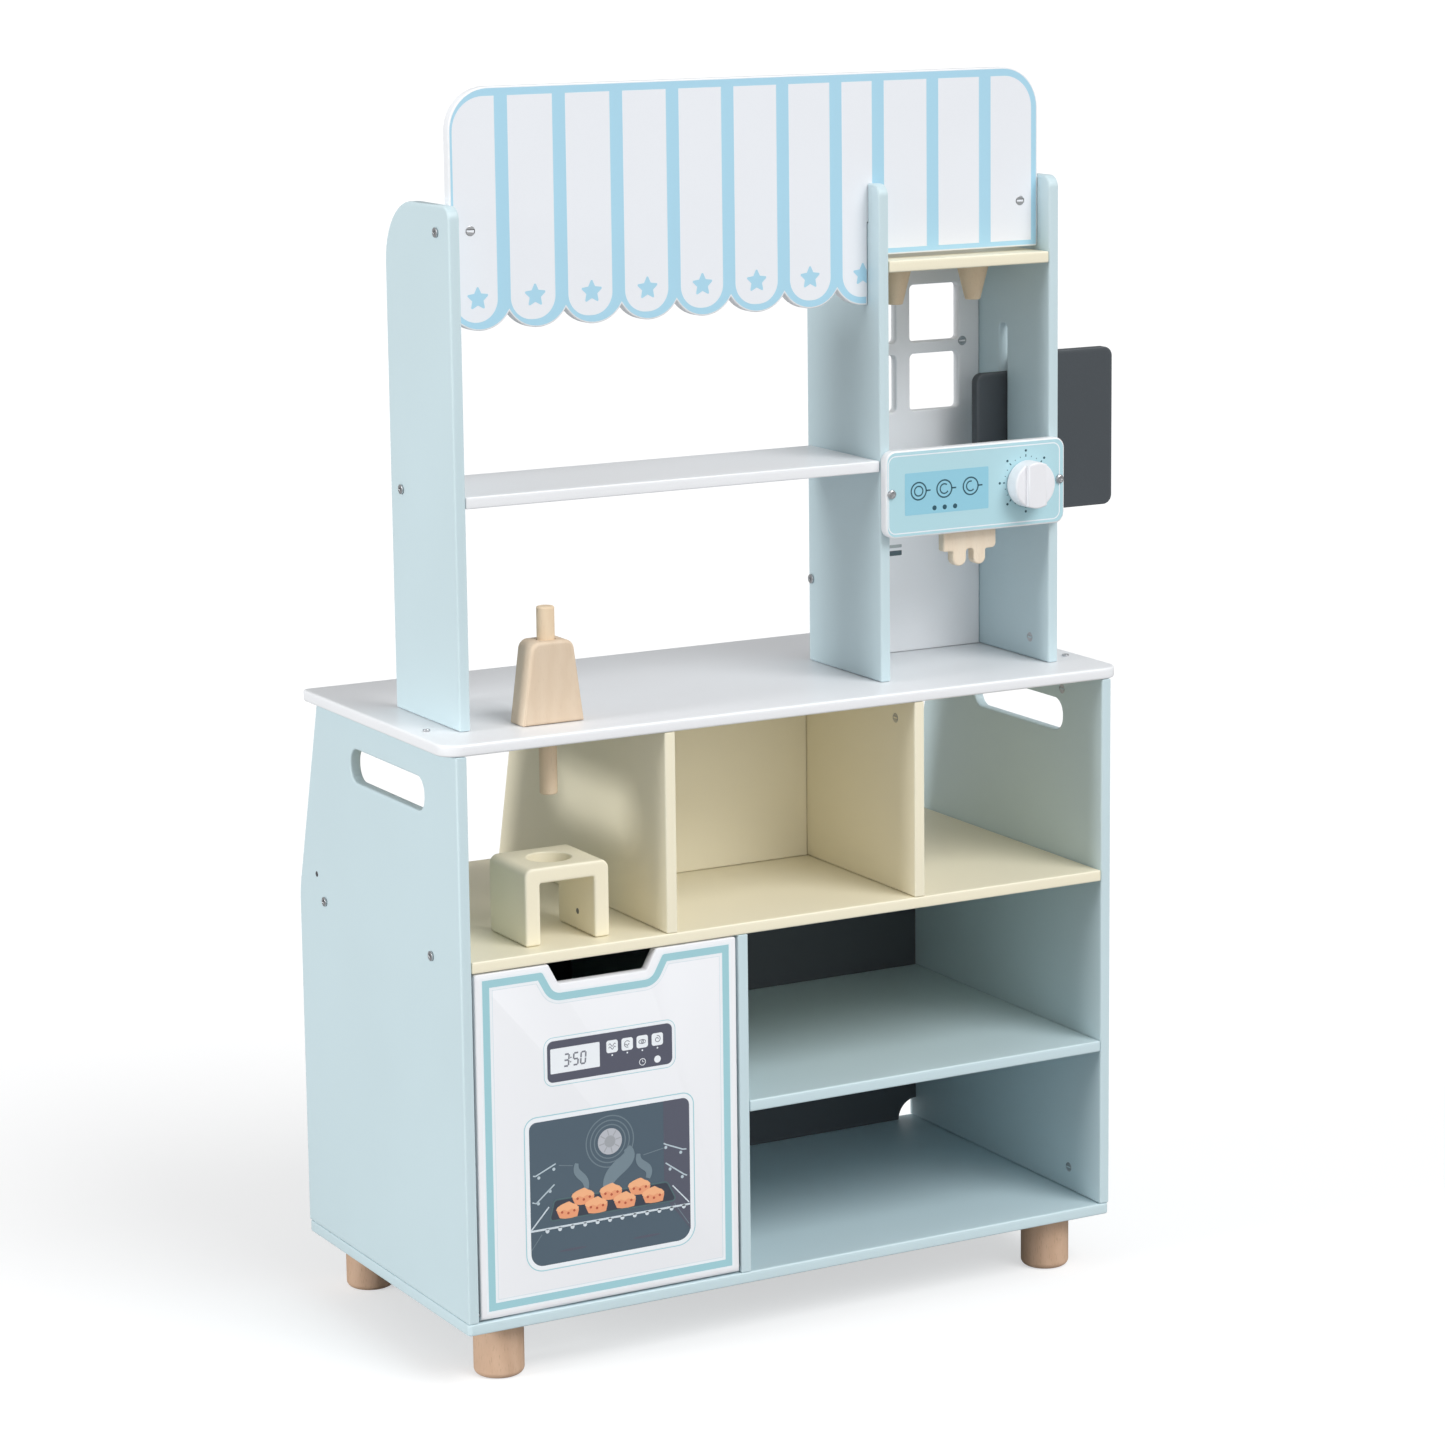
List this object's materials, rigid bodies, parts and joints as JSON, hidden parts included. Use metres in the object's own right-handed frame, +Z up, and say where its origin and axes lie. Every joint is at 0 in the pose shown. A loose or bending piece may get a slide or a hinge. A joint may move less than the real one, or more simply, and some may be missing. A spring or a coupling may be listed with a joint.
{
  "type": "toy kitchen",
  "caption": "Child's play kitchen of painted boards: oven with drop-down door, open shelves, counter with ice-cream dispenser, coffee counter and scalloped awning.",
  "frame": {"origin": "on the floor under the middle of the whole, the menu board at the right side included", "axes": "+Z up, +X to the right as the user stands at the front, -Y towards the user"},
  "size_m": [0.674, 0.3086, 0.9998],
  "materials": {
    "blue_paint": "satin paint on fibreboard",
    "white_paint": "satin paint on fibreboard",
    "cream_paint": "satin paint on fibreboard",
    "natural_wood": "clear lacquer",
    "beech": "clear lacquer",
    "chalkboard": "matt chalkboard paint on fibreboard",
    "dark_plastic": "moulded",
    "zinc_steel": "zinc plated"
  },
  "bodies": {
    "cabinet": {"awning_board": "white_paint", "base_board": "blue_paint", "bay_back": "white_paint", "bolt_awning_left": "zinc_steel", "bolt_awning_right": "zinc_steel", "bolt_bay_middle": "zinc_steel", "bolt_bay_right": "zinc_steel", "bolt_counter_left": "zinc_steel", "bolt_counter_right": "zinc_steel", "bolt_left_back": "zinc_steel", "bolt_left_front": "zinc_steel", "bolt_right_back": "zinc_steel", "bolt_right_front": "zinc_steel", "bolt_shelf_left": "zinc_steel", "chalk_back": "chalkboard", "coffee_fascia": "white_paint", "cone_holder_left": "natural_wood", "cone_holder_right": "natural_wood", "countertop": "white_paint", "cubby_back": "cream_paint", "cubby_divider_left": "cream_paint", "cubby_divider_right": "cream_paint", "door_stop": "dark_plastic", "foot_back_left": "beech", "foot_back_right": "beech", "foot_front_left": "beech", "foot_front_right": "beech", "hinge_pin_left": "zinc_steel", "hinge_pin_right": "zinc_steel", "hopper": "natural_wood", "keeper_disc": "zinc_steel", "long_shelf": "cream_paint", "lower_divider": "blue_paint", "lower_shelf": "blue_paint", "nut_awning_left": "zinc_steel", "nut_awning_right": "zinc_steel", "nut_bay": "zinc_steel", "nut_divider": "zinc_steel", "nut_side_low": "zinc_steel", "nut_side_top": "zinc_steel", "nut_upright": "zinc_steel", "screw_fascia_left": "zinc_steel", "screw_fascia_right": "zinc_steel", "side_panel_left": "blue_paint", "side_panel_right": "blue_paint", "spout": "natural_wood", "top_shelf": "cream_paint", "upper_shelf": "white_paint", "upright_left": "blue_paint", "upright_middle": "blue_paint", "upright_right": "blue_paint"},
    "oven_door": {"oven_door": "white_paint", "door_magnet": "zinc_steel"},
    "coffee_knob": {"coffee_knob": "white_paint", "knob_shaft": "zinc_steel"},
    "plunger": {"plunger": "natural_wood"},
    "cone_stand": {"cone_stand": "cream_paint"},
    "menu_board": {"menu_board": "chalkboard"}
  },
  "joints": [
    {"name": "door_hinge", "type": "hinge", "parent": "cabinet", "child": "oven_door", "pos_m": [-0.20265, -0.14875, 0.06095], "axis": [1, 0, 0], "range_deg": [0, 90]},
    {"name": "knob_turn", "type": "hinge", "parent": "cabinet", "child": "coffee_knob", "pos_m": [0.20315, -0.1197, 0.6651], "axis": [0, -1, 0], "continuous": true},
    {"name": "plunger_slide", "type": "slide", "parent": "cabinet", "child": "plunger", "axis": [0, 0, 1], "range_m": [-0.022, 0.02]},
    {"name": "cone_stand_slide", "type": "slide", "parent": "cabinet", "child": "cone_stand", "axis": [0, -1, 0], "range_m": [0, 0.1]},
    {"name": "menu_lift", "type": "slide", "parent": "cabinet", "child": "menu_board", "axis": [0, 0, 1], "range_m": [0, 0.038]}
  ]
}
